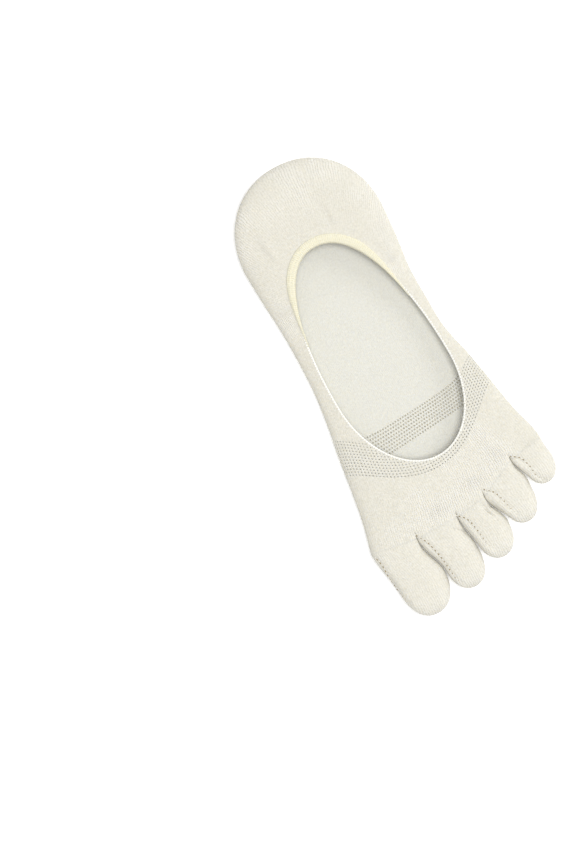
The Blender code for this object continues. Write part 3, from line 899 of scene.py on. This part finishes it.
def loop_tree():
    """Geometry Nodes that lay rounded loops of yarn one after another along paths."""
    tree = bpy.data.node_groups.new("loops along a path", "GeometryNodeTree")
    sockets = tree.interface
    sockets.new_socket("Path", in_out="INPUT", socket_type="NodeSocketGeometry")
    inputs = {}
    for label, kind in (("Spacing", "Float"), ("Size", "Vector"), ("Material", "Material")):
        socket = sockets.new_socket(label, in_out="INPUT", socket_type="NodeSocket" + kind)
        inputs[label] = socket.identifier
    sockets.new_socket("Loops", in_out="OUTPUT", socket_type="NodeSocketGeometry")
    nodes = tree.nodes
    links = tree.links
    source = nodes.new("NodeGroupInput")
    curve = nodes.new("GeometryNodeMeshToCurve")
    steps = nodes.new("GeometryNodeResampleCurve")
    steps.mode = "LENGTH"
    along = nodes.new("GeometryNodeInputTangent")
    turned = nodes.new("FunctionNodeAlignRotationToVector")
    turned.axis = "X"
    bead = nodes.new("GeometryNodeMeshUVSphere")
    bead.inputs["Segments"].default_value = 8
    bead.inputs["Rings"].default_value = 6
    bead.inputs["Radius"].default_value = 0.5
    laid = nodes.new("GeometryNodeInstanceOnPoints")
    realize = nodes.new("GeometryNodeRealizeInstances")
    paint = nodes.new("GeometryNodeSetMaterial")
    result = nodes.new("NodeGroupOutput")
    links.new(source.outputs["Path"], curve.inputs["Mesh"])
    links.new(curve.outputs["Curve"], steps.inputs["Curve"])
    links.new(source.outputs["Spacing"], steps.inputs["Length"])
    links.new(steps.outputs["Curve"], laid.inputs["Points"])
    links.new(along.outputs["Tangent"], turned.inputs["Vector"])
    links.new(turned.outputs["Rotation"], laid.inputs["Rotation"])
    links.new(bead.outputs["Mesh"], laid.inputs["Instance"])
    links.new(source.outputs["Size"], laid.inputs["Scale"])
    links.new(laid.outputs["Instances"], realize.inputs["Geometry"])
    links.new(realize.outputs["Geometry"], paint.inputs["Geometry"])
    links.new(source.outputs["Material"], paint.inputs["Material"])
    links.new(paint.outputs["Geometry"], result.inputs["Loops"])
    return tree, inputs


loops_along_path, loop_inputs = loop_tree()


def lay_loops(name, paths, closed, spacing, size, material):
    """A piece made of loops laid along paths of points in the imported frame."""
    mesh = bmesh.new()
    for path in paths:
        corners = [mesh.verts.new(point) for point in path]
        for start, end in zip(corners, corners[1:]):
            mesh.edges.new((start, end))
        if closed:
            mesh.edges.new((corners[-1], corners[0]))
    piece = new_object(name, mesh)
    laid = piece.modifiers.new("loops", "NODES")
    laid.node_group = loops_along_path
    laid[loop_inputs["Spacing"]] = spacing
    laid[loop_inputs["Size"]] = size
    laid[loop_inputs["Material"]] = material
    plain_mesh(piece)
    piece.data.shade_smooth()
    return piece


def yarn_material(name, colour, shade, roughness):
    """Twisted yarn of one small stitch: fine fibres and slightly uneven colour."""
    material = bpy.data.materials.new(name)
    material.use_nodes = True
    nodes = material.node_tree.nodes
    links = material.node_tree.links
    shader = nodes["Principled BSDF"]
    shader.inputs["Roughness"].default_value = roughness
    shader.inputs["Sheen Weight"].default_value = 0.15
    shader.inputs["Specular IOR Level"].default_value = 0.15
    place = nodes.new("ShaderNodeTexCoord")
    fibres = nodes.new("ShaderNodeTexNoise")
    fibres.inputs["Scale"].default_value = 2600.0
    fibres.inputs["Detail"].default_value = 2.0
    links.new(place.outputs["Object"], fibres.inputs["Vector"])
    mixed = nodes.new("ShaderNodeMix")
    mixed.data_type = "RGBA"
    mixed.inputs["A"].default_value = (*shade, 1.0)
    mixed.inputs["B"].default_value = (*colour, 1.0)
    links.new(fibres.outputs["Fac"], mixed.inputs["Factor"])
    links.new(mixed.outputs["Result"], shader.inputs["Base Color"])
    bump = nodes.new("ShaderNodeBump")
    bump.inputs["Distance"].default_value = 0.00006
    bump.inputs["Strength"].default_value = 1.0
    links.new(fibres.outputs["Fac"], bump.inputs["Height"])
    links.new(bump.outputs["Normal"], shader.inputs["Normal"])
    return material


def surface_under(pieces):
    """Search trees of the pieces that stitches are laid on."""
    view = bpy.context.evaluated_depsgraph_get()
    return [BVHTree.FromObject(piece, view) for piece in pieces]


def height_at(trees, x, y):
    """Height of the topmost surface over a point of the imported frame."""
    above = Vector((x, y, 1.0))
    hits = [tree.ray_cast(above, Vector((0.0, 0.0, -1.0)))[0] for tree in trees]
    return max((hit.z for hit in hits if hit is not None), default=None)


def seam_path(seam, trees, start_shift):
    """Points of a seam's line on the knit, evenly spaced, starting a little way along it."""
    x_at = curve_through([(i, point[0] * MM) for i, point in enumerate(seam.points)])
    along_at = curve_through([(i, point[1] * MM) for i, point in enumerate(seam.points)])
    fine = 60
    points = []
    for i in range(fine + 1):
        place = (len(seam.points) - 1) * i / fine
        spot = in_frame(Vector((x_at(place), along_at(place), 0.0)))
        height = height_at(trees, spot.x, spot.y)
        if height is not None:
            points.append(Vector((spot.x, spot.y, height)))
    travelled = 0.0
    kept = []
    for before, point in zip(points, points[1:]):
        travelled += (point - before).length
        if travelled >= start_shift:
            kept.append(point)
    return kept


stitch_yarn = yarn_material("seam stitch yarn", (0.72, 0.69, 0.61), (0.64, 0.60, 0.51), 0.9)
# Painted shade: the needle holes are not cut, but dark brown ovals laid on the seams stand for their shadow.
needle_hole_painted_shade = yarn_material("needle hole painted shade", (0.34, 0.27, 0.16), (0.24, 0.19, 0.11), 1.0)
knit_trees = surface_under([foot_knit] + toe_knits)
seam_stitches = lay_loops(
    "toe_seam_stitches", [seam_path(seam, knit_trees, 0.0) for seam in SEAMS],
    False, STITCH_SPACING, STITCH_SIZE, stitch_yarn,
)
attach(seam_stitches, "root")
# Dark ovals of painted shade, half a stitch along from the stitches, one for each needle hole.
seam_hole_shadows = lay_loops(
    "toe_seam_hole_shadows", [seam_path(seam, knit_trees, STITCH_SPACING / 2.0) for seam in SEAMS],
    False, STITCH_SPACING, HOLE_SHADOW_SIZE, needle_hole_painted_shade,
)
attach(seam_hole_shadows, "root")


# OPENING EDGE
# A thin elastic edge all round the opening: a rolled cord of white covered elastic, knitted on
# to the upper's cut edge, with one small bead of yarn to each stitch.

EDGE_WIDTH = 0.0013
EDGE_RADIUS = 0.00050
EDGE_STEPS = 360
EDGE_SIDES = 10
BEAD_SPACING = 0.00125
BEAD_SIZE = Vector((0.00140, 0.00120, 0.00125))


def edge_line():
    """Middle of the elastic edge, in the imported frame, and the directions across it."""
    line = []
    for i in range(EDGE_STEPS):
        turn = 2.0 * math.pi * i / EDGE_STEPS
        place = offset_opening(turn, EDGE_WIDTH / 2.0)
        outward = (offset_opening(turn, EDGE_WIDTH) - place).normalized()
        level = foot_top(place.x, place.y) - KNIT_WALL / 2.0
        line.append((in_frame(Vector((place.x, place.y, level))), Vector((outward.x, -outward.y, 0.0))))
    return line


def edge_cord():
    """The elastic edge's rolled cord, one closed loop."""
    mesh = bmesh.new()
    rows = []
    for middle, outward in edge_line():
        ring = []
        for j in range(EDGE_SIDES):
            turn = 2.0 * math.pi * j / EDGE_SIDES
            offset = outward * math.cos(turn) + Vector((0.0, 0.0, math.sin(turn)))
            ring.append(mesh.verts.new(middle + offset * EDGE_RADIUS))
        rows.append(ring)
    for row, following in zip(rows, rows[1:] + rows[:1]):
        for j in range(EDGE_SIDES):
            k = (j + 1) % EDGE_SIDES
            mesh.faces.new((row[j], row[k], following[k], following[j]))
    bmesh.ops.recalc_face_normals(mesh, faces=mesh.faces)
    return new_object("opening_edge_cord", mesh)


edge_yarn = yarn_material("edge elastic yarn", (0.90, 0.89, 0.84), (0.82, 0.81, 0.75), 0.8)
edge_cord_piece = edge_cord()
edge_cord_piece.data.materials.append(edge_yarn)
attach(edge_cord_piece, "root")
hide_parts("opening_edge")
edge_beads = lay_loops(
    "opening_edge_beads", [[middle for middle, outward in edge_line()]],
    True, BEAD_SPACING, BEAD_SIZE, edge_yarn,
)
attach(edge_beads, "root")


# HEEL BAND
# A wider, yellower elastic hem behind the edge at the heel, which keeps the sock from slipping.
# It is a double strip, raised above the knit, four courses wide in the middle, that runs out
# along both sides of the opening.

HEEL_BAND_WIDTH = 0.0046
HEEL_BAND_FULL_SHARE = 0.42
HEEL_BAND_THICKNESS = 0.0006
HEEL_BAND_REACH = math.radians(66)
HEEL_BAND_TIP = 0.18
HEEL_BAND_RISE = 0.00085
HEEL_BAND_SINK = 0.00120
HEEL_BAND_OVERHANG = 0.00015
HEEL_BAND_CROWN = 2.6
HEEL_BAND_EDGE = 6.0
HEEL_BAND_TAPER = math.radians(14)
HEEL_BAND_RELIEF = 0.8
BAND_STEPS = 150
BAND_SIDES = 12
BAND_RIB = 0.00085


def band_width(turn):
    """Width of the heel band at this turn of the opening."""
    share = (abs(turn) / HEEL_BAND_REACH - HEEL_BAND_FULL_SHARE) / (1.0 - HEEL_BAND_FULL_SHARE)
    return HEEL_BAND_WIDTH * mix(1.0, HEEL_BAND_TIP, smooth(share))


def heel_band():
    """The heel band: a flat strip with rounded edges, laid on the knit behind the edge."""
    mesh = bmesh.new()
    stitches = mesh.loops.layers.uv.new("stitches")
    relief = mesh.verts.layers.float.new("relief")
    rows = []
    travelled = 0.0
    before = None
    marks = []
    for i in range(BAND_STEPS + 1):
        turn = HEEL_BAND_REACH * (2.0 * i / BAND_STEPS - 1.0)
        width = band_width(turn)
        middle = offset_opening(turn, width / 2.0)
        if before is not None:
            travelled += (middle - before).length
        before = middle
        marks.append(travelled / BAND_RIB)
        end_taper = smooth((HEEL_BAND_REACH - abs(turn)) / HEEL_BAND_TAPER)
        row = []
        for j in range(BAND_SIDES + 1):
            across = 1.0 - 2.0 * j / BAND_SIDES
            place = offset_opening(turn, width * (1.0 - across) / 2.0 - HEEL_BAND_OVERHANG)
            lift = HEEL_BAND_RISE * end_taper * rounded(across, HEEL_BAND_CROWN)
            sink = HEEL_BAND_SINK * (1.0 - rounded(across, HEEL_BAND_EDGE))
            level = foot_top(place.x, place.y) + lift - sink
            row.append(mesh.verts.new(in_frame(Vector((place.x, place.y, level)))))
        rows.append(row)
    for i, (row, following) in enumerate(zip(rows, rows[1:])):
        for j in range(BAND_SIDES):
            face = mesh.faces.new((row[j], row[j + 1], following[j + 1], following[j]))
            uvs = ((marks[i], j), (marks[i], j + 1), (marks[i + 1], j + 1), (marks[i + 1], j))
            for loop, uv in zip(face.loops, uvs):
                loop[stitches].uv = (uv[0], uv[1] / 4.0)
    for vertex in mesh.verts:
        vertex[relief] = HEEL_BAND_RELIEF
    bmesh.ops.recalc_face_normals(mesh, faces=mesh.faces)
    if rows[0][0].link_faces[0].normal.z < 0.0:
        bmesh.ops.reverse_faces(mesh, faces=mesh.faces)
    return new_object("heel_band_hem", mesh)


# Painted shade: the band yarn's second colour darkens the grooves between its ribs.
band_yarn = knit_material("heel band yarn", (0.74, 0.705, 0.555), (0.62, 0.575, 0.42), 0.00014, 0.25)
heel_band_piece = heel_band()
heel_band_piece.data.materials.append(band_yarn)
band_wall = heel_band_piece.modifiers.new("band thickness", "SOLIDIFY")
band_wall.thickness = HEEL_BAND_THICKNESS
band_wall.offset = -1.0
plain_mesh(heel_band_piece)
heel_band_piece.data.shade_smooth()
heel_band_piece.data.set_sharp_from_angle(angle=math.radians(60.0))
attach(heel_band_piece, "root")
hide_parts("heel_band")


# TABLE TOP, LIGHT AND CAMERA
# The sock lies on a plain white sheet under a wide, even light, stronger from the little toe's
# side, and is seen straight from above, turned on the picture as on the photograph.

FLOOR_SIZE = 6.0
CAMERA_HEIGHT = 6.0
MIDDLE_LEVEL = 0.006
CAMERA_TURN = math.radians(-27.043)
CAMERA_PLACE = (-0.05272, -0.00265)
FRAME_HEIGHT = 0.3757
SENSOR = 36.0

floor_mesh = bmesh.new()
bmesh.ops.create_grid(floor_mesh, x_segments=1, y_segments=1, size=FLOOR_SIZE / 2.0)
floor = new_object("floor", floor_mesh)
floor_material = bpy.data.materials.new("white sheet")
floor_material.use_nodes = True
floor_shader = floor_material.node_tree.nodes["Principled BSDF"]
floor_shader.inputs["Base Color"].default_value = (0.93, 0.93, 0.93, 1.0)
floor_shader.inputs["Roughness"].default_value = 0.9
floor_shader.inputs["Specular IOR Level"].default_value = 0.1
floor_shader.inputs["Emission Color"].default_value = (1.0, 1.0, 1.0, 1.0)
floor_shader.inputs["Emission Strength"].default_value = 0.22
floor.data.materials.append(floor_material)
floor.location = (0.0, 0.0, -0.0002)

world = bpy.data.worlds.new("studio")
world.use_nodes = True
world.node_tree.nodes["Background"].inputs["Color"].default_value = (1.0, 1.0, 1.0, 1.0)
world.node_tree.nodes["Background"].inputs["Strength"].default_value = 0.38
bpy.context.scene.world = world


def add_soft_light(name, place, size, power):
    """Square soft light that faces the sock."""
    lamp = bpy.data.lights.new(name, "AREA")
    lamp.shape = "SQUARE"
    lamp.size = size
    lamp.energy = power
    light = bpy.data.objects.new(name, lamp)
    bpy.context.scene.collection.objects.link(light)
    light.location = place
    light.rotation_euler = (-Vector(place)).to_track_quat("-Z", "Y").to_euler()
    return light


add_soft_light("overhead light", (0.25, -0.1, 2.4), 1.2, 55.0)
add_soft_light("side light", (1.9, 0.1, 1.3), 0.9, 12.0)

lens = bpy.data.cameras.new("camera")
lens.sensor_fit = "AUTO"
lens.sensor_width = SENSOR
lens.lens = SENSOR * (CAMERA_HEIGHT - MIDDLE_LEVEL) / FRAME_HEIGHT
lens.clip_end = 100.0
camera = bpy.data.objects.new("camera", lens)
bpy.context.scene.collection.objects.link(camera)
camera.location = (*CAMERA_PLACE, CAMERA_HEIGHT)
camera.rotation_euler = (0.0, 0.0, CAMERA_TURN)
bpy.context.scene.camera = camera
bpy.context.scene.view_settings.view_transform = "Standard"
